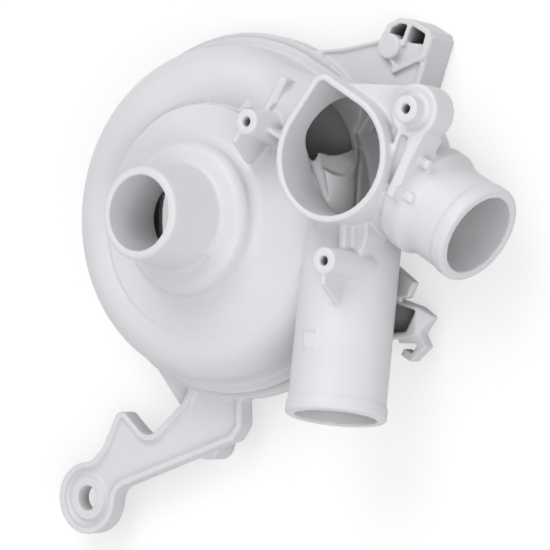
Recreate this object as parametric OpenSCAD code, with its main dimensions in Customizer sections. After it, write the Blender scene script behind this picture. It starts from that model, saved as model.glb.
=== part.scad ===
// Cover of a dishwasher circulation pump: a volute casing with a central inlet spigot,
// a valve chamber with a teardrop mouth, two outlet spigots and a rear mounting ring.
// The origin is the centre of the casing at the back, and the inlet points along +Z. Places in
// the plan are measured from the inlet's axis, which in_frame() then moves off the origin.

/* [Casing] */
// Radius of the circle that the volute passage runs along
spine_r = 51.3; // [50.5:0.1:52]
// Outer radius of the volute passage
tube_r = 14; // [13.5:0.1:14.5]
// Height of the passage's middle over the weld plane
spine_rise = 12; // [11.5:0.1:12.5]
// Distance from the inlet's axis to the casing's centre
casing_shift = 3; // [2:0.5:4]
// Wall thickness of the mouldings
wall = 2.5; // [2.2:0.1:2.8]
// Radius of the raised front plate
plate_r = 44.3; // [43:0.1:45]
// Height of the front plate's face over the weld plane
plate_rise = 26; // [25.7:0.1:27]
// Radius of the cover's flange
flange_r = 70; // [69:0.1:71]
// Thickness of the cover's flange
flange_t = 2.6; // [2:0.1:3]

/* [Inlet] */
// Outer diameter of the inlet spigot at its mouth
inlet_od = 35.2; // [34:0.1:37]
// Outer diameter of the inlet spigot at its foot
inlet_foot_od = 40.4; // [39:0.1:42]
// Bore of the inlet
inlet_bore = 28.4; // [26:0.1:29]
// Height of the inlet's mouth over the front plate
inlet_rise = 34; // [30:0.5:38]
// Height of the hub over the front plate
hub_rise = 9.5; // [8.5:0.5:11]
// Radius of the hub's shoulder
hub_r = 29.5; // [28.5:0.5:30.5]

/* [Mounting ring] */
// Outer radius of the mounting ring
ring_r = 72.3; // [71.5:0.1:74]
// Thickness of the mounting ring
ring_t = 8; // [7:0.5:9]
// Outer radius of the rear spigot that enters the motor housing
rear_r = 64; // [63.5:0.1:65]
// Length of the rear spigot
rear_len = 8; // [7:0.5:9]
// Radius of the opening for the pump wheel
wheel_r = 39; // [37:0.5:41]

/* [Valve chamber] */
// Distance of the chamber's axis from the inlet's axis, to the right
chamber_x = 76.5; // [76:0.1:77.5]
// Distance of the chamber's axis from the inlet's axis, upwards
chamber_y = 16; // [15.5:0.1:17]
// Inner radius of the chamber
chamber_r = 21.3; // [20.8:0.1:21.8]
// Height of the chamber's mouth over the weld plane
chamber_rise = 45; // [43:0.5:47]
// Direction of the mouth's pointed side
tip_angle = 97; // [94:1:100]
// Distance from the chamber's axis to the middle of the tip's rounding
tip_reach = 24.6; // [23.5:0.1:25.5]
// Inner radius of the tip's rounding
tip_r = 3; // [2.5:0.1:4]
// Outer radius of the discharge duct where it reaches the chamber
duct_r = 17.5; // [17:0.1:18]
// Height of the duct's axis there over the weld plane
duct_rise = 22; // [21:0.5:23]
// Distance by which the duct's axis passes the chamber's axis on the outside
duct_shift = 4; // [3:0.5:5.5]

/* [Screw bosses] */
// Outer diameter of a boss
boss_d = 9.8; // [9:0.1:10.6]
// Diameter of a boss's screw hole
boss_hole = 3.6; // [3:0.1:4.2]
// Depth of a boss's screw hole
boss_depth = 14; // [10:0.5:15]
// Height of the bosses' faces over the chamber's mouth
boss_proud = 1.5; // [0.5:0.5:3]

/* [Outlets] */
// Outer diameter of both outlet spigots
outlet_od = 36.2; // [35.6:0.1:36.8]
// Bore of both outlet spigots
outlet_bore = 30; // [29:0.1:31]
// Distance of the lower outlet's axis from the inlet's axis, to the right
lower_x = 64; // [63:0.1:65]
// Distance of the lower outlet's mouth below the inlet's axis
lower_reach = 77.5; // [74:0.5:82]
// Angle by which the lower outlet rises towards its mouth
lower_tilt = 11.7; // [10.5:0.1:13]
// Direction of the side outlet, turned down from the +X axis
side_angle = 33.5; // [32.5:0.1:34.5]
// Angle by which the side outlet rises towards its mouth
side_tilt = 4.8; // [4:0.1:6]
// Height of the side outlet's axis over the weld plane
side_rise = 16; // [15.5:0.1:16.5]
// Distance from the chamber's axis to the side outlet's weld face
side_face = 28.5; // [28:0.1:29.5]
// Length of the side spigot from its weld face to its mouth
side_len = 26; // [22:0.5:30]

/* [Leg] */
// Distance of the eyelet's hole from the inlet's axis, to the left
eye_x = 80; // [78:0.5:82]
// Distance of the eyelet's hole below the inlet's axis
eye_y = 108.5; // [106:0.5:110]
// Outer radius of the eyelet
eye_r = 14.8; // [14:0.1:16]
// Diameter of the eyelet's hole
eye_hole = 10; // [8:0.1:11]
// Thickness of the leg
leg_t = 8; // [7:0.5:9]

/* [Hidden] */
$fn = 96;

plastic = "whitesmoke";
weld_z = rear_len + ring_t;
spine_z = weld_z + spine_rise;
plate_z = weld_z + plate_rise;
hub_z = plate_z + hub_rise;
inlet_z = plate_z + inlet_rise;
chamber_z = weld_z + chamber_rise;
boss_z = chamber_z + boss_proud;
casing = [0, casing_shift];
chamber = [chamber_x, chamber_y];
outlet_r = outlet_od / 2;
bore_r = outlet_bore / 2;

// Direction of the side outlet, which the discharge duct shares, and the one across it
side_dir = [cos(side_angle), -sin(side_angle)];
side_across = [sin(side_angle), cos(side_angle)];
side_z = weld_z + side_rise;

// The duct leaves the volute where the passage already runs along the side outlet's direction
duct_start = casing + spine_r * side_across;
duct_end = chamber + duct_shift * side_across - 4 * side_dir;

// Where the three screw bosses stand
boss_1 = chamber + [-35.9, 15.6];
boss_2 = chamber + [-2.5, -37.4];
boss_3 = chamber + [33.4, 13.5];

// The lower outlet's axis passes over this height level with the second boss
lower_z = weld_z + 14.4;
lower_dir = [0, -cos(lower_tilt), sin(lower_tilt)];
lower_mouth = [lower_x, -lower_reach, lower_z + (lower_reach + boss_2.y) * tan(lower_tilt)];

// Plates that are welded together at the side outlet
face_t = 3;
face_top = chamber_z - 4;
face_r = outlet_r + 2.4;
pocket_r = 9.5;
pocket_depth = 2.5;
plate_side = 24;

function ring_arc(m, r, start, stop, n) =
    [for (i = [0:n]) m + r * [cos(start + (stop - start) * i / n), sin(start + (stop - start) * i / n)]];

// Rounds the corners of a flat shape: outer ones by out, inner ones by in
module rounded(out, in) {
    offset(r = out, $fn = 28)
        offset(r = -out - in, $fn = 28)
            offset(r = in, $fn = 28)
                children();
}

// Puts the casing's centre on the origin
module in_frame() {
    color(plastic)
        translate([0, -casing_shift, 0])
            children();
}

// Places things that are drawn along +Z so that they run from p in direction d
module aimed(p, d) {
    translate(p)
        rotate([0, acos(d.z / norm(d)), atan2(d.y, d.x)])
            children();
}

// Places things at distance d from the chamber's axis, with +X along the side outlet
module at_side(d) {
    translate([chamber.x, chamber.y, side_z])
        rotate(-side_angle)
            translate([d, 0, 0])
                children();
}

// Tube that ends in a rounded bead
module spigot(len, r, bore, bead = 0.6, bead_len = 5) {
    lip = 1.3;
    rotate_extrude()
        polygon(concat(
            [[bore, 0], [r, 0], [r, len - bead_len - bead], [r + bead, len - bead_len]],
            ring_arc([r + bead - lip, len - lip], lip, 0, 90, 6),
            ring_arc([bore + 1, len - 1], 1, 90, 180, 4)));
}

// Section of the volute passage and the room behind it, grown by g
module passage_section(g) {
    skirt = spine_r + tube_r + g;
    base = g < 0 ? weld_z - 1 : weld_z;
    intersection() {
        translate([spine_r, spine_z])
            circle(tube_r + g);
        translate([0, base])
            square([skirt + 1, spine_z]);
    }
    polygon([
        [0, base],
        [skirt + 1.2, base],
        [skirt - 0.4 + g * 0.04, spine_z + 3],
        [spine_r, spine_z + 7],
        [0, spine_z + 7]]);
}

// Raised plate: round on the left, straight past the second boss and the chamber
module plate_plan() {
    turn = 62;
    circle(plate_r);
    polygon([
        (plate_r - 0.1) * [cos(turn), -sin(turn)],
        [lower_x - outlet_r + 5, boss_2.y + 0.5],
        [chamber.x - chamber_r, boss_2.y + 4],
        [chamber.x, chamber.y],
        [boss_1.x + 4, boss_1.y + 3],
        boss_1 + [-8, 7]]);
}

module hub_section() {
    foot = 4;
    shoulder = 4.5;
    pipe = inlet_foot_od / 2;
    polygon(concat(
        [[0, plate_z - 1], [hub_r + foot, plate_z - 1]],
        ring_arc([hub_r + foot, plate_z + foot], foot, -90, -180, 8),
        ring_arc([hub_r - shoulder, hub_z - shoulder], shoulder, 0, 84, 8),
        [[pipe + 0.8, hub_z + 0.3], [pipe, hub_z + 1.1], [0, hub_z + 1.1]]));
}

// Tapered inlet spigot with its rounded mouth
module inlet_section() {
    lip = 1.6;
    r = inlet_od / 2;
    polygon(concat(
        [[0, hub_z - 1], [inlet_foot_od / 2, hub_z - 1], [inlet_foot_od / 2, hub_z + 1]],
        ring_arc([r - lip, inlet_z - lip], lip, 0, 90, 6),
        [[0, inlet_z]]));
}

module hub_hollow_section() {
    polygon([
        [0, plate_z - wall - 1],
        [hub_r + 1, plate_z - wall - 1],
        [hub_r - 2.5, hub_z - wall - 4],
        [hub_r - 7, hub_z - wall],
        [0, hub_z - wall]]);
}

// Keeps what lies over the weld plane
module over_weld() {
    intersection() {
        children();
        translate([-flange_r, -lower_reach - 20, weld_z])
            cube([3 * flange_r, 3 * flange_r, plate_rise + inlet_rise]);
    }
}

// Discharge duct that widens and rises from the volute to the chamber, grown by g
module duct(g) {
    back = 6;
    from = [duct_start.x, duct_start.y, spine_z];
    run = [duct_end.x, duct_end.y, weld_z + duct_rise] - from;
    aimed(from - back * run / norm(run), run)
        cylinder(h = norm(run) + back, r1 = tube_r - 1 + g, r2 = duct_r + g);
}

// Plan of the valve chamber: a circle with a rounded tip, grown by g
module teardrop(g) {
    r = chamber_r + g;
    tr = tip_r + g;
    open = acos((r - tr) / tip_reach);
    in = 0.03;
    rotate(tip_angle) {
        circle(r);
        translate([tip_reach, 0])
            circle(tr);
        polygon([
            [0, 0],
            (r - in) * [cos(open), -sin(open)],
            [tip_reach, 0] + (tr - in) * [cos(open), -sin(open)],
            [tip_reach, 0] + (tr - in) * [cos(open), sin(open)],
            (r - in) * [cos(open), sin(open)]]);
    }
}

// Flange that is welded to the mounting ring, with the groove of the weld and a straight tail
module flange() {
    groove = 0.9;
    deep = 0.9;
    tail = 46;
    start = casing + (flange_r - 0.2) * side_across;
    translate([casing.x, casing.y, weld_z])
        cylinder(h = groove, r = flange_r - deep);
    translate([casing.x, casing.y, weld_z + groove])
        cylinder(h = flange_t, r = flange_r);
    for (step = [[0, groove, deep], [groove, flange_t, 0]])
        translate([0, 0, weld_z + step[0]])
            linear_extrude(step[1])
                polygon([
                    start - step[2] * side_across,
                    start / 2,
                    chamber,
                    chamber + [2, 20],
                    start - step[2] * side_across + tail * side_dir]);
}

module chamber_outside() {
    translate([chamber.x, chamber.y, weld_z])
        linear_extrude(chamber_rise)
            teardrop(wall);
}

module chamber_inside() {
    translate([chamber.x, chamber.y, weld_z + wall])
        linear_extrude(chamber_rise)
            teardrop(0);
}

// The lower outlet is cut flat where it passes over the mounting ring
module lower_outlet_outside() {
    run = lower_reach + 2;
    len = run / cos(lower_tilt);
    over_weld()
        aimed(lower_mouth - len * lower_dir, lower_dir)
            spigot(len, outlet_r, bore_r - 4);
}

module lower_outlet_inside() {
    len = (lower_reach + 8) / cos(lower_tilt);
    translate([0, 0, wall])
        over_weld()
            translate([0, 0, -wall])
                aimed(lower_mouth - (len - 5) * lower_dir, lower_dir)
                    cylinder(h = len, r = bore_r);
}

// Body beside the chamber that carries the side outlet and the third boss
module side_body() {
    difference() {
        side_solid();
        at_side(side_face)
            translate([0, -50, -30])
                cube([20, 50.3 + plate_side, 80]);
    }
}

module side_solid() {
    column = 12;
    at_side(5)
        rotate([0, 90, 0])
            cylinder(h = side_face, r = outlet_r + 1.5);
    at_side(side_face - face_t)
        rotate([0, 90, 0])
            cylinder(h = 2 * face_t, r = face_r);
    // Top of the weld face, and the column round the third boss with its tapered foot
    translate([0, 0, face_top - column])
        linear_extrude(column) {
            weld_face_plan(0);
            translate(boss_3)
                circle(pocket_r);
        }
    translate([0, 0, side_z + 11])
        linear_extrude(6)
            weld_face_plan(0.2);
    // Wall from the chamber's tip to the column, with its narrower foot
    translate([0, 0, weld_z + 24])
        linear_extrude(face_top - weld_z - 28)
            polygon([
                chamber + [0, 10],
                chamber + [0, chamber_r + 6],
                boss_3 + [0, pocket_r - 0.4],
                boss_3 + [4, 0],
                chamber + 20 * side_dir]);
    translate([0, 0, weld_z + 1])
        linear_extrude(25)
            polygon([
                chamber + [1, 10],
                chamber + [1, chamber_r + 5],
                chamber + [chamber_r - 1, 16],
                chamber + [chamber_r + 1, 0],
                chamber + 15 * side_dir]);
}

// Plan of the upper part of the weld face, drawn in by g
module weld_face_plan(g) {
    translate(chamber)
        rotate(-side_angle)
            translate([side_face - face_t + g, -1 + g])
                square([2 * face_t, plate_side + 1 - 2 * g]);
}

module pocket() {
    translate([boss_3.x, boss_3.y, face_top - pocket_depth])
        difference() {
            cylinder(h = pocket_depth + 1, r = pocket_r - 2.1);
            translate([0, 0, -1])
                cylinder(h = pocket_depth + 3, d = boss_d);
        }
}

// Fin that stands on edge between a boss and the surface below it. Its top runs level for
// flat, then slopes down by drop until reach. It ends below at foot.
module fin(at, angle, flat, reach, top, drop, foot, t = 1.9) {
    translate([at.x, at.y, 0])
        rotate(angle)
            translate([0, t / 2, 0])
                rotate([90, 0, 0])
                    linear_extrude(t)
                        polygon([[0, foot], [reach, foot], [reach, top - drop], [flat, top], [0, top]]);
}

module bosses() {
    for (b = [[boss_1, plate_z - 3], [boss_2, lower_z + 2], [boss_3, weld_z + 32]])
        translate([b[0].x, b[0].y, b[1]])
            cylinder(h = boss_z - b[1], d = boss_d);
    // Wider roots of the two bosses on the left
    for (b = [boss_1, boss_2])
        aimed([b.x, b.y - 1.2, boss_z - 25], [0, 1.2, 21])
            cylinder(h = 21, r1 = boss_d / 2 + 2, r2 = boss_d / 2 - 0.3);
    fin(boss_1, 226, 9.5, 18, boss_z - 0.6, 16, plate_z - 2);
    fin(boss_1 + [-3.7, 2.2], 59, 2, 17, plate_z + 6.6, 2.4, plate_z - 6, 2.6);
    fin(boss_1, -32, 2, 16, plate_z + 13, 0.5, plate_z - 2);
    fin(boss_1, 146, 3, 9, plate_z + 5, 2, plate_z - 4, 3);
    fin(boss_2, 262, 8.5, 18.5, boss_z - 0.6, 15, lower_z + 5);
    fin(boss_2, 88, 2, 17, plate_z + 9, 0.5, lower_z + 5, 2.6);
    fin(boss_2, 178, 2, 11, plate_z + 4, 1.5, lower_z + 5, 3.4);
    fin(boss_3, 215, 2, 14.5, boss_z - 5, 4.5, weld_z + 30);
}

module boss_holes() {
    for (b = [boss_1, boss_2, boss_3])
        translate([b.x, b.y, boss_z - boss_depth])
            cylinder(h = boss_depth + 1, d = boss_hole);
}

// Flat-topped body between the chamber and the lower outlet
module saddle() {
    low = weld_z + 16;
    high = plate_z + 4;
    translate([0, 0, low])
        linear_extrude(high - low)
            polygon([
                [lower_x - 4, chamber.y - 10],
                [lower_x - 4, boss_2.y - 1],
                [boss_2.x + 4, boss_2.y - 1],
                [chamber.x + 5.5, chamber.y - chamber_r - 6],
                [chamber.x + 5.5, chamber.y - 10]]);
    // Seam lug on the lower outlet
    translate([lower_x - 4.3, -51.8, weld_z + 30])
        cube([5, 5.7, 9.6]);
}

// Casing with its front plate, hub and inlet
module casing_outside() {
    flange();
    translate([casing.x, casing.y, 0])
        rotate_extrude()
            passage_section(0);
    translate([0, 0, spine_z + 1])
        linear_extrude(plate_z - spine_z - 1)
            plate_plan();
    rotate_extrude()
        hub_section();
    rotate_extrude()
        inlet_section();
    // Small lug at the foot of the inlet
    rotate(-40)
        translate([inlet_foot_od / 2 - 1.5, -2.8, hub_z - 0.6])
            cube([3.4, 5.6, 2.4]);
}

// Room of the pump wheel with the volute passage, open to the back
module casing_inside() {
    translate([casing.x, casing.y, 0])
        rotate_extrude()
            passage_section(-wall);
    rotate_extrude()
        hub_hollow_section();
    translate([0, 0, spine_z])
        cylinder(h = plate_z - wall - spine_z, r = plate_r - wall - 4);
    cylinder(h = inlet_z + 1, d = inlet_bore);
}

// Room of the valve and its two ways out. The volute passage keeps its wall where they run past it.
module valve_room() {
    difference() {
        union() {
            chamber_inside();
            lower_outlet_inside();
        }
        translate([casing.x, casing.y, 0])
            rotate_extrude()
                passage_section(0);
    }
    at_side(chamber_r - 8)
        rotate([0, 90, 0])
            cylinder(h = side_face, r = bore_r + 0.4);
}

module volute_cover() {
    in_frame()
        difference() {
            union() {
                casing_outside();
                over_weld()
                    duct(0);
                chamber_outside();
                lower_outlet_outside();
                saddle();
                side_body();
                bosses();
            }
            casing_inside();
            duct(-wall);
            valve_room();
            pocket();
            boss_holes();
        }
}

eye = [-eye_x, -eye_y];

// Plan of the leg, without its eyelet
module leg_plan() {
    polygon([
        [-24, -55],
        [-25, -64],
        [-28.2, -69.8],
        [-47, -85.2],
        [-61.5, -71],
        [-70.5, -87.5],
        eye + [3.5, 15.5],
        eye,
        eye + [13.5, -5],
        eye + [14.6, 3.4],
        [-13, -88.5],
        [-3.6, -85.6],
        [0.8, -80],
        [0.8, -55]]);
}

module leg_outline() {
    rounded(3.5, 7) {
        leg_plan();
        translate(eye)
            circle(eye_r);
    }
}

module leg() {
    rim = 2.6;
    recess = 2.4;
    translate([0, 0, weld_z - leg_t])
        difference() {
            linear_extrude(leg_t)
                leg_outline();
            translate([0, 0, leg_t - recess])
                linear_extrude(recess + 1)
                    offset(r = -rim)
                        leg_outline();
        }
    translate([eye.x, eye.y, weld_z - leg_t])
        cylinder(h = leg_t - 0.6, d = eye_hole + 8);
    // Foot behind the leg, as low as the rear spigot
    translate([-20.8, -86.3, 0])
        cylinder(h = rear_len + 3, r = 6.8);
    // Web from the leg to the ring
    linear_extrude(weld_z - 4)
        polygon([[-47, -53], [-33, -71], [-27, -71], [-29, -62.5]]);
}

// Bracket beside the discharge duct: a plate with a lip, and two deep pockets round a stud
module bracket() {
    floor_t = 2;
    lip = 1.4;
    stud = [74, 61.5];
    translate([0, 0, weld_z - 5])
        linear_extrude(3)
            shelf_plan();
    translate([0, 0, weld_z - 4])
        linear_extrude(3.2)
            difference() {
                shelf_plan();
                translate([0, -lip])
                    shelf_plan();
                translate([68, 30])
                    square(40);
            }
    difference() {
        linear_extrude(weld_z)
            rounded(1.2, 1)
                polygon([
                    [69.6, 65.2],
                    [73.2, 70.2],
                    [78.5, 71.9],
                    [84.2, 70.6],
                    [92.2, 65.2],
                    [89.4, 55.4],
                    [77.2, 51.8],
                    [70, 49.6],
                    [75, 53.8],
                    [72.6, 57],
                    [72.6, 62]]);
        translate([0, 0, floor_t])
            linear_extrude(weld_z)
                difference() {
                    polygon([
                        [71.8, 63.8],
                        [74.6, 68.4],
                        [78.5, 69.7],
                        [83.5, 68.4],
                        [89.6, 64.4],
                        [87.4, 57.2],
                        [77, 54.2],
                        [75, 56]]);
                    translate([81.8, 66.5])
                        rotate(-25)
                            square([1.8, 12], center = true);
                }
    }
    translate([stud.x, stud.y, 0])
        cylinder(h = weld_z + 1.5, r = 4.9);
    // Web on the right
    linear_extrude(weld_z - 1)
        polygon([[83.3, 45.8], [90.4, 64.1], [92.7, 63.2], [85.6, 44.9]]);
}

// Plate under the flange's straight tail
module shelf_plan() {
    polygon([
        [39, 48],
        [39, 64.2],
        [52, 63.6],
        [69.6, 65],
        [90.4, 60.4],
        [84.4, 45.4],
        [72, 38],
        [58, 38]]);
}

// Catch for the wiring beside the lower outlet: a plate, a deep trough and a small hook
module wire_catch() {
    low = weld_z - 11;
    high = 8;
    translate([0, 0, low + 5])
        linear_extrude(4)
            polygon([[62, -14], [72.9, -20.7], [81.3, -27.6], [78.1, -33.2], [62, -33.2]]);
    difference() {
        translate([0, 0, low])
            linear_extrude(high)
                polygon([
                    [50, -31.2],
                    [68.9, -32],
                    [81.2, -36.6],
                    [86.2, -40.5],
                    [80.5, -47.5],
                    [78.3, -48.1],
                    [46, -48.1]]);
        translate([0, 0, low + 1.5])
            linear_extrude(high)
                polygon([[58, -33.8], [69, -33.8], [80.6, -38], [76, -45.6], [58, -45.6]]);
        // Slope at the trough's right end
        translate([80.6, -60, low + high + 0.1])
            rotate([0, 42, 0])
                cube([12, 30, 8]);
        // Room for what goes round the rear spigot
        translate([casing.x, casing.y, low - 1])
            cylinder(h = rear_len - low + 1.6, r = ring_r - 0.9);
    }
    translate([0, 0, low])
        linear_extrude(6)
            polygon([
                [72, -46.5],
                [81.4, -46.5],
                [83.8, -51.6],
                [76.8, -57],
                [72.6, -54.2],
                [74, -51.8],
                [77.2, -53.6],
                [80, -51.2],
                [79, -49.8],
                [72, -49.8]]);
}

module mounting_ring() {
    in_frame()
        difference() {
            union() {
                translate([casing.x, casing.y, rear_len])
                    cylinder(h = ring_t, r = ring_r);
                translate([casing.x, casing.y, 0])
                    cylinder(h = rear_len + 1, r = rear_r);
                leg();
                bracket();
                wire_catch();
            }
            translate([casing.x, casing.y, -1])
                cylinder(h = weld_z - wall + 1, r = rear_r - wall);
            translate([casing.x, casing.y, weld_z - wall - 1])
                cylinder(h = wall + 2, r = wheel_r);
            translate([eye.x, eye.y, -1])
                cylinder(h = weld_z + 2, d = eye_hole);
        }
}

// The side outlet: a hose spigot on a flange that is welded to the side body
module side_outlet() {
    in_frame()
        at_side(side_face)
            difference() {
                union() {
                    rotate([0, 90, 0])
                        cylinder(h = face_t, r = face_r);
                    rotate([0, 90 - side_tilt, 0]) {
                        translate([0, 0, 1.6])
                            spigot(side_len - 1.6, outlet_r, bore_r - 0.5);
                        translate([0, 0, 2.2])
                            cylinder(h = 6, r1 = face_r - 0.2, r2 = outlet_r - 0.3);
                    }
                }
                rotate([0, 90 - side_tilt, 0])
                    translate([0, 0, -4])
                        cylinder(h = side_len + 8, r = bore_r);
            }
}

volute_cover();
mounting_ring();
side_outlet();
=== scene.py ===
import math

import bpy
from mathutils import Matrix, Vector


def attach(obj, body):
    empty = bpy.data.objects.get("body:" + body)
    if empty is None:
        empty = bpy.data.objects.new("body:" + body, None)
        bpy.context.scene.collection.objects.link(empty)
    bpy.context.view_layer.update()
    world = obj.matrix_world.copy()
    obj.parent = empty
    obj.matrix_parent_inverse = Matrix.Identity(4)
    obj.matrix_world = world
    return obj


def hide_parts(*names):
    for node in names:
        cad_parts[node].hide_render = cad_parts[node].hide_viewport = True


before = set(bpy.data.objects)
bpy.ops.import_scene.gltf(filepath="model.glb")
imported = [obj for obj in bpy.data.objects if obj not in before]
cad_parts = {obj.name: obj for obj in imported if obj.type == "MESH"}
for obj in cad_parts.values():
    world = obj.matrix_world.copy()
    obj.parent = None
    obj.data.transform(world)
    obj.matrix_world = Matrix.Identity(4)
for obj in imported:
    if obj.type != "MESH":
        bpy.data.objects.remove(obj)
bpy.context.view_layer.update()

MM = 0.001
MERGE_DISTANCE = 0.000002

# Places that several details share, in millimetres and radians
RIGHT_BOSS = (109.9, 26.5)
SIDE_ANGLE = math.radians(33.5)
BAR_ANGLE = math.radians(58)
RIB_ANGLE = math.radians(66)
BOLD_EDGE = 0.6
FINE_EDGE = 0.5

# Grid of the skins in millimetres, and the most triangles that each may have
VOXEL = 0.55
COVER_TRIANGLES = 198000
RING_TRIANGLES = 150000


# Working by hand: selection, modes and modifiers

def only(obj):
    """Selects obj alone and makes it the active object."""
    bpy.ops.object.select_all(action="DESELECT")
    obj.select_set(True)
    bpy.context.view_layer.objects.active = obj


def apply_modifier(obj, kind, **values):
    only(obj)
    modifier = obj.modifiers.new(kind.lower(), kind)
    for key, value in values.items():
        setattr(modifier, key, value)
    bpy.ops.object.modifier_apply(modifier=modifier.name)


def settle(obj):
    """Puts the object's place, turn and size into its mesh."""
    only(obj)
    bpy.ops.object.transform_apply(location=True, rotation=True, scale=True)
    return obj


def join(piece, parts):
    """Makes the parts one object with piece."""
    bpy.ops.object.select_all(action="DESELECT")
    for part in parts:
        part.select_set(True)
    piece.select_set(True)
    bpy.context.view_layer.objects.active = piece
    bpy.ops.object.join()


def merged_copy(cad_name, name):
    """Copy of a CAD node's mesh with its loose triangles merged."""
    piece = bpy.data.objects.new(name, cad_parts[cad_name].data.copy())
    bpy.context.scene.collection.objects.link(piece)
    only(piece)
    bpy.ops.object.mode_set(mode="EDIT")
    bpy.ops.mesh.select_all(action="SELECT")
    bpy.ops.mesh.remove_doubles(threshold=MERGE_DISTANCE)
    bpy.ops.object.mode_set(mode="OBJECT")
    return piece


def block(size, place, turn=(0, 0, 0), soften=0.0):
    """A block of the given size in mm, with its edges bevelled by soften."""
    bpy.ops.object.select_all(action="DESELECT")
    bpy.ops.mesh.primitive_cube_add(size=1, location=[c * MM for c in place], rotation=turn)
    obj = bpy.context.object
    obj.scale = [s * MM for s in size]
    settle(obj)
    if soften:
        bpy.ops.object.mode_set(mode="EDIT")
        bpy.ops.mesh.select_all(action="SELECT")
        bpy.ops.mesh.bevel(offset=soften * MM, segments=3, affect="EDGES")
        bpy.ops.object.mode_set(mode="OBJECT")
    return obj


def rod(radius, height, place, sides=96):
    """An upright rod whose foot's middle is at place."""
    middle = Vector(place) * MM + Vector((0, 0, height * MM / 2))
    bpy.ops.object.select_all(action="DESELECT")
    bpy.ops.mesh.primitive_cone_add(
        vertices=sides, radius1=radius * MM, radius2=radius * MM, depth=height * MM, location=middle)
    return settle(bpy.context.object)


def prism(points, low, high, soften=0.0):
    """A flat outline in mm, raised from one height to another."""
    bpy.ops.object.select_all(action="DESELECT")
    bpy.ops.mesh.primitive_circle_add(vertices=len(points), radius=1, fill_type="NGON")
    obj = bpy.context.object
    for vertex, (x, y) in zip(obj.data.vertices, points):
        vertex.co = (x * MM, y * MM, low * MM)
    bpy.ops.object.mode_set(mode="EDIT")
    bpy.ops.mesh.select_all(action="SELECT")
    bpy.ops.mesh.extrude_region_move(TRANSFORM_OT_translate={"value": (0, 0, (high - low) * MM)})
    bpy.ops.mesh.select_all(action="SELECT")
    bpy.ops.mesh.normals_make_consistent(inside=False)
    if soften:
        bpy.ops.mesh.bevel(offset=soften * MM, segments=3, affect="EDGES")
    bpy.ops.object.mode_set(mode="OBJECT")
    return obj


def sheet(points, thickness):
    """A thick sheet whose corners are given in mm with a height each."""
    obj = prism([(x, y) for x, y, z in points], -thickness, 0)
    count = len(points)
    for index, vertex in enumerate(obj.data.vertices):
        vertex.co.z += points[index % count][2] * MM
    return obj


def bead(points, radius):
    """A rod of round section along points in mm, with a radius for each of them."""
    curve = bpy.data.curves.new("bead", "CURVE")
    curve.dimensions = "3D"
    curve.bevel_depth = MM
    curve.bevel_resolution = 4
    curve.use_fill_caps = True
    line = curve.splines.new("POLY")
    line.points.add(len(points) - 1)
    for point, place, r in zip(line.points, points, radius):
        point.co = (*[c * MM for c in place], 1)
        point.radius = r
    obj = bpy.data.objects.new("bead", curve)
    bpy.context.scene.collection.objects.link(obj)
    only(obj)
    bpy.ops.object.convert(target="MESH")
    return bpy.context.object


def cut(piece, tool):
    """Takes tool out of piece."""
    only(piece)
    modifier = piece.modifiers.new("cut", "BOOLEAN")
    modifier.operation = "DIFFERENCE"
    modifier.solver = "EXACT"
    modifier.object = tool
    bpy.ops.object.modifier_apply(modifier=modifier.name)
    bpy.data.objects.remove(tool)


def washer(outer, inner, height, place):
    """A flat ring whose foot's middle is at place."""
    flat_ring = rod(outer, height, place)
    cut(flat_ring, rod(inner, height + 2, (place[0], place[1], place[2] - 1)))
    return flat_ring


# Finish of a moulding: one skin, softened edges and inner corners

def moulded_skin(piece, passes, triangles):
    apply_modifier(piece, "REMESH", mode="VOXEL", voxel_size=VOXEL * MM, adaptivity=0.0)
    apply_modifier(piece, "SMOOTH", factor=0.5, iterations=passes)
    count = sum(len(p.vertices) - 2 for p in piece.data.polygons)
    if count > triangles:
        apply_modifier(piece, "DECIMATE", decimate_type="COLLAPSE", ratio=triangles / count)
    only(piece)
    bpy.ops.object.shade_smooth()


cover = merged_copy("volute_cover", "cover_moulding")
outlet = merged_copy("side_outlet", "side_outlet_moulding")
ring = merged_copy("mounting_ring", "ring_moulding")

# A band with a rounded ridge runs from the right screw boss down the side body, and a shallow floor lies round it
band = prism([(112.8, 18.2), (103.4, 0.2), (99.6, 1.0), (103.4, 8.8), (107.6, 18.6)], 50, 57.0, BOLD_EDGE)
ridge = bead([
    (109.9, 17.4, 56.0), (105.6, 9.5, 56.2), (100.8, 1.2, 55.8), (96.6, -2.6, 53.8), (93.6, -5.6, 51.6),
    (91.2, -8.2, 49.0), (89.8, -11.4, 46.8), (90.0, -15.0, 44.6)], [1.3, 1.7, 1.7, 1.6, 1.4, 1.2, 1.0, 0.8])
pocket_floor = washer(9.3, 3.4, 2.4, (*RIGHT_BOSS, 54.0))

# Lugs at the side pipe's root and by the left boss
lugs = [
    block((5.6, 3.4, 4), (109.6, 8.8, 49.6), (0, 0, -SIDE_ANGLE), FINE_EDGE),
    block((6.4, 3.4, 4), (103.2, -2.6, 51.2), (0, 0, -SIDE_ANGLE), FINE_EDGE),
    block((4.6, 3.0, 3), (24.4, 37.2, 41.2), (0, 0, 0.5), FINE_EDGE)]

# Sill at the duct's end in the chamber
duct_sill = sheet([
    (61.4, 21.1, 22.1), (60.6, 19.0, 27.0), (58.8, 17.6, 31.0), (56.7, 17.5, 34.0), (55.0, 18.4, 37.4),
    (53.4, 13.0, 39.6), (58.0, 8.0, 38.0), (62.6, 9.6, 32.4), (63.4, 15.0, 26.5)], 5.0)

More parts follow.
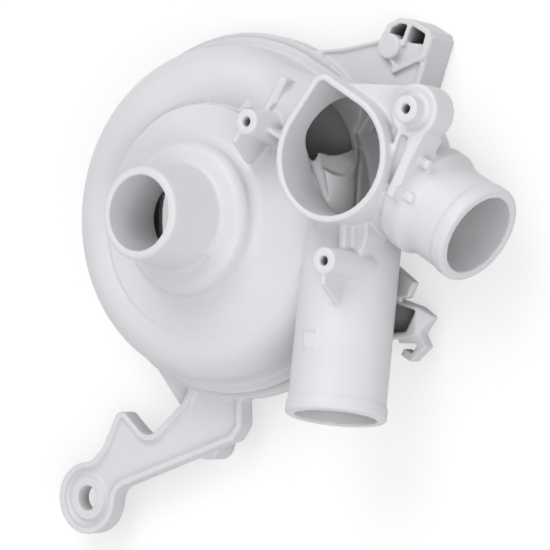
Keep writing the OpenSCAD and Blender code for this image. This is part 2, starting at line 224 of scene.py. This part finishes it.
# Bar beside the left boss, and a shelf with its rib between the chamber and the right boss
left_bar = block((10.6, 3.8, 6.0), (44.3, 41.6, 44.6), (0, 0, BAR_ANGLE), FINE_EDGE)
side_shelf = prism([
    (97.1, 15.7), (103.9, 21.1), (106.0, 16.0), (101.0, 3.0), (96.5, -2.0), (94.0, 0.6), (95.6, 8.0)],
    48.0, 54.4, BOLD_EDGE)
side_rib = block((11.4, 1.7, 5.0), (102.2, 16.6, 54.5), (0, 0, RIB_ANGLE), 0.4)

# Taken out of the cover: a groove over the chamber's floor and inner wall, and the dark gap beside the inner body
chamber_groove = bead([
    (68.6, 29.9, 18.7), (62.6, 20.2, 20.3), (64.2, 10.0, 25.3), (65.0, -1.6, 27.9)], [1.0, 1.0, 1.0, 1.0])
chamber_gap = bead([
    (56.0, 19.0, 43.6), (55.9, 13.9, 40.3), (57.7, 9.0, 39.8), (59.0, 3.0, 39.4), (61.2, -1.2, 39.8)],
    [1.2, 2.3, 2.0, 1.5, 1.0])

cut(cover, chamber_groove)
cut(cover, chamber_gap)
join(cover, [outlet, band, ridge, pocket_floor, duct_sill, left_bar, side_shelf, side_rib] + lugs)
moulded_skin(cover, passes=4, triangles=COVER_TRIANGLES)
moulded_skin(ring, passes=3, triangles=RING_TRIANGLES)


# Node groups that the materials share

def new_group(name, sockets_in, sockets_out):
    group = bpy.data.node_groups.new(name, "ShaderNodeTree")
    for label, kind, value in sockets_in:
        socket = group.interface.new_socket(label, in_out="INPUT", socket_type=kind)
        if value is not None:
            socket.default_value = value
    for label, kind in sockets_out:
        group.interface.new_socket(label, in_out="OUTPUT", socket_type=kind)
    return group, group.nodes.new("NodeGroupInput"), group.nodes.new("NodeGroupOutput")


# Sockets of the colour mix node by number, because several of them share a name
MIX_FACTOR, MIX_FIRST, MIX_SECOND, MIX_RESULT = 0, 6, 7, 2


def node(tree, kind, **values):
    made = tree.nodes.new(kind)
    for key, value in values.items():
        if key in made.inputs.keys():
            made.inputs[key].default_value = value
        else:
            setattr(made, key, value)
    return made


def ramp(tree, low, high, a, b):
    made = tree.nodes.new("ShaderNodeMapRange")
    made.inputs["From Min"].default_value = low
    made.inputs["From Max"].default_value = high
    made.inputs["To Min"].default_value = a
    made.inputs["To Max"].default_value = b
    return made


def spark_grain_group():
    """Fine satin grain of the mould's skin, and the slight waviness of a thin wall."""
    group, given, out = new_group("spark grain", [
        ("Vector", "NodeSocketVector", None),
        ("Grain", "NodeSocketFloat", 1.0),
        ("Waviness", "NodeSocketFloat", 1.0)], [("Height", "NodeSocketFloat")])
    fine = node(group, "ShaderNodeTexNoise", Scale=2600.0, Detail=2.0, Roughness=0.6)
    wavy = node(group, "ShaderNodeTexNoise", Scale=70.0, Detail=2.0, Roughness=0.5)
    a = node(group, "ShaderNodeMath", operation="MULTIPLY")
    b = node(group, "ShaderNodeMath", operation="MULTIPLY")
    c = node(group, "ShaderNodeMath", operation="ADD")
    links = group.links
    links.new(given.outputs["Vector"], fine.inputs["Vector"])
    links.new(given.outputs["Vector"], wavy.inputs["Vector"])
    links.new(fine.outputs["Fac"], a.inputs[0])
    links.new(given.outputs["Grain"], a.inputs[1])
    links.new(wavy.outputs["Fac"], b.inputs[0])
    links.new(given.outputs["Waviness"], b.inputs[1])
    links.new(a.outputs[0], c.inputs[0])
    links.new(b.outputs[0], c.inputs[1])
    links.new(c.outputs[0], out.inputs["Height"])
    return group


def tone_group():
    """Slow change of tone over a moulding, with faint flow streaks."""
    group, given, out = new_group("moulding tone", [
        ("Vector", "NodeSocketVector", None),
        ("Colour", "NodeSocketColor", (0.8, 0.8, 0.8, 1)),
        ("Deeper", "NodeSocketColor", (0.7, 0.7, 0.7, 1))], [
        ("Colour", "NodeSocketColor"),
        ("Mask", "NodeSocketFloat")])
    slow = node(group, "ShaderNodeTexNoise", Scale=22.0, Detail=3.0, Roughness=0.55)
    streak = node(group, "ShaderNodeTexNoise", Scale=9.0, Detail=4.0, Roughness=0.7, Distortion=1.6)
    spread = ramp(group, 0.35, 0.75, 0.0, 0.5)
    streaks = ramp(group, 0.45, 0.75, 0.0, 0.5)
    both = node(group, "ShaderNodeMath", operation="ADD")
    mix = node(group, "ShaderNodeMix", data_type="RGBA")
    links = group.links
    links.new(given.outputs["Vector"], slow.inputs["Vector"])
    links.new(given.outputs["Vector"], streak.inputs["Vector"])
    links.new(slow.outputs["Fac"], spread.inputs["Value"])
    links.new(streak.outputs["Fac"], streaks.inputs["Value"])
    links.new(spread.outputs[0], both.inputs[0])
    links.new(streaks.outputs[0], both.inputs[1])
    links.new(both.outputs[0], mix.inputs[MIX_FACTOR])
    links.new(given.outputs["Colour"], mix.inputs[MIX_FIRST])
    links.new(given.outputs["Deeper"], mix.inputs[MIX_SECOND])
    links.new(mix.outputs[MIX_RESULT], out.inputs["Colour"])
    links.new(both.outputs[0], out.inputs["Mask"])
    return group


SPARK_GRAIN = spark_grain_group()
TONE = tone_group()


# Painted shade: the colour that deep places turn to, how far off a wall still counts in metres, and the openness
# where it begins
PAINTED_SHADE_COLOUR = (0.22, 0.205, 0.19, 1)
SHADE_REACH = 0.05
SHADE_FROM = 0.36
PLASTIC_IOR = 1.49


def plastic(name, colour, deeper, rough_low, rough_high, grain, waviness):
    """Light moulded plastic: satin, slightly uneven in tone and gloss, with painted shade darkening its colour
    where little light reaches.
    """
    material = bpy.data.materials.new(name)
    material.use_nodes = True
    tree = material.node_tree
    shader = tree.nodes["Principled BSDF"]
    links = tree.links
    place = tree.nodes.new("ShaderNodeTexCoord")
    tone = tree.nodes.new("ShaderNodeGroup")
    tone.node_tree = TONE
    tone.inputs["Colour"].default_value = (*colour, 1)
    tone.inputs["Deeper"].default_value = (*deeper, 1)
    skin = tree.nodes.new("ShaderNodeGroup")
    skin.node_tree = SPARK_GRAIN
    skin.inputs["Grain"].default_value = grain
    skin.inputs["Waviness"].default_value = waviness
    bump = node(tree, "ShaderNodeBump", Strength=0.35, Distance=0.0004)
    gloss = ramp(tree, 0.0, 1.0, rough_low, rough_high)
    # Painted shade: an occlusion test darkens the base colour towards the shade colour where walls close in
    hollow = node(tree, "ShaderNodeAmbientOcclusion", Distance=SHADE_REACH)
    hollow.samples = 8
    depth = ramp(tree, 0.0, SHADE_FROM, 1.0, 0.0)
    shade = node(tree, "ShaderNodeMix", data_type="RGBA")
    shade.inputs[MIX_SECOND].default_value = PAINTED_SHADE_COLOUR
    links.new(place.outputs["Object"], tone.inputs["Vector"])
    links.new(place.outputs["Object"], skin.inputs["Vector"])
    links.new(tone.outputs["Colour"], shade.inputs[MIX_FIRST])
    links.new(hollow.outputs["AO"], depth.inputs["Value"])
    links.new(depth.outputs[0], shade.inputs[MIX_FACTOR])
    links.new(shade.outputs[MIX_RESULT], shader.inputs["Base Color"])
    links.new(tone.outputs["Mask"], gloss.inputs["Value"])
    links.new(gloss.outputs[0], shader.inputs["Roughness"])
    links.new(skin.outputs["Height"], bump.inputs["Height"])
    links.new(bump.outputs["Normal"], shader.inputs["Normal"])
    shader.inputs["IOR"].default_value = PLASTIC_IOR
    return material


COVER_PLASTIC = plastic(
    "cover plastic", (0.745, 0.75, 0.775), (0.70, 0.705, 0.73),
    rough_low=0.36, rough_high=0.48, grain=0.5, waviness=0.6)
RING_PLASTIC = plastic(
    "ring plastic", (0.73, 0.735, 0.76), (0.685, 0.69, 0.715),
    rough_low=0.40, rough_high=0.52, grain=0.6, waviness=0.5)

for piece, material, nodes in (
        (cover, COVER_PLASTIC, ("volute_cover", "side_outlet")),
        (ring, RING_PLASTIC, ("mounting_ring",))):
    piece.data.materials.clear()
    piece.data.materials.append(material)
    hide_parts(*nodes)
    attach(piece, "root")


# Floor, light and camera

FLOOR_SIZE = 6
FLOOR_DROP = 0.3 * MM
FLOOR_GREY = (0.45, 0.45, 0.45, 1)
FLOOR_GLOW = 0.58
SKY_LEVEL = 0.64


def floor_material():
    """Pale floor that takes a soft shadow, and glows for the eye and for reflections only."""
    material = bpy.data.materials.new("pale floor")
    material.use_nodes = True
    tree = material.node_tree
    shader = tree.nodes["Principled BSDF"]
    out = tree.nodes["Material Output"]
    shader.inputs["Base Color"].default_value = FLOOR_GREY
    shader.inputs["Roughness"].default_value = 0.9
    shader.inputs["Specular IOR Level"].default_value = 0.1
    glow = node(tree, "ShaderNodeEmission")
    path = tree.nodes.new("ShaderNodeLightPath")
    seen = node(tree, "ShaderNodeMath", operation="MAXIMUM")
    add = tree.nodes.new("ShaderNodeAddShader")
    level = node(tree, "ShaderNodeMath", operation="MULTIPLY")
    level.inputs[1].default_value = FLOOR_GLOW
    tree.links.new(path.outputs["Is Camera Ray"], seen.inputs[0])
    tree.links.new(path.outputs["Is Glossy Ray"], seen.inputs[1])
    tree.links.new(seen.outputs[0], level.inputs[0])
    tree.links.new(level.outputs[0], glow.inputs["Strength"])
    tree.links.new(shader.outputs[0], add.inputs[0])
    tree.links.new(glow.outputs[0], add.inputs[1])
    tree.links.new(add.outputs[0], out.inputs["Surface"])
    return material


bpy.ops.object.select_all(action="DESELECT")
bpy.ops.mesh.primitive_plane_add(size=FLOOR_SIZE, location=(0, 0, -FLOOR_DROP))
floor = settle(bpy.context.object)
floor.name = "floor"
floor.data.materials.append(floor_material())

world = bpy.data.worlds.new("studio")
bpy.context.scene.world = world
world.use_nodes = True
sky = world.node_tree.nodes["Background"]
sky.inputs["Color"].default_value = (1, 1, 1, 1)
sky.inputs["Strength"].default_value = SKY_LEVEL


def softbox(name, direction, distance, size, power):
    """Round soft light in a direction from the origin, turned towards it."""
    light = bpy.data.lights.new(name, "AREA")
    light.shape = "DISK"
    light.size = size
    light.energy = power
    obj = bpy.data.objects.new(name, light)
    bpy.context.scene.collection.objects.link(obj)
    way = Vector(direction).normalized()
    obj.location = way * distance
    obj.rotation_euler = way.to_track_quat("Z", "Y").to_euler()


softbox("key light", (0.1, 0.62, 0.78), distance=1.3, size=0.8, power=5.2)
softbox("fill light", (0.66, -0.42, 0.62), distance=1.4, size=0.9, power=5.6)

CAMERA_PLACE = (0.5108, -0.0797, 0.6872)
camera_data = bpy.data.cameras.new("camera")
camera = bpy.data.objects.new("camera", camera_data)
bpy.context.scene.collection.objects.link(camera)
right = Vector((0.8057, -0.0174, -0.5921)).normalized()
forward = Vector((-0.5900, 0.0661, -0.8047)).normalized()
up = right.cross(forward).normalized()
right = forward.cross(up)
camera_turn = Matrix((right, up, -forward)).transposed().to_4x4()
camera.matrix_world = Matrix.Translation(CAMERA_PLACE) @ camera_turn
camera_data.sensor_width = 36
camera_data.lens = 140.7
camera_data.clip_start = 0.05
bpy.context.scene.camera = camera
bpy.context.scene.view_settings.view_transform = "Standard"
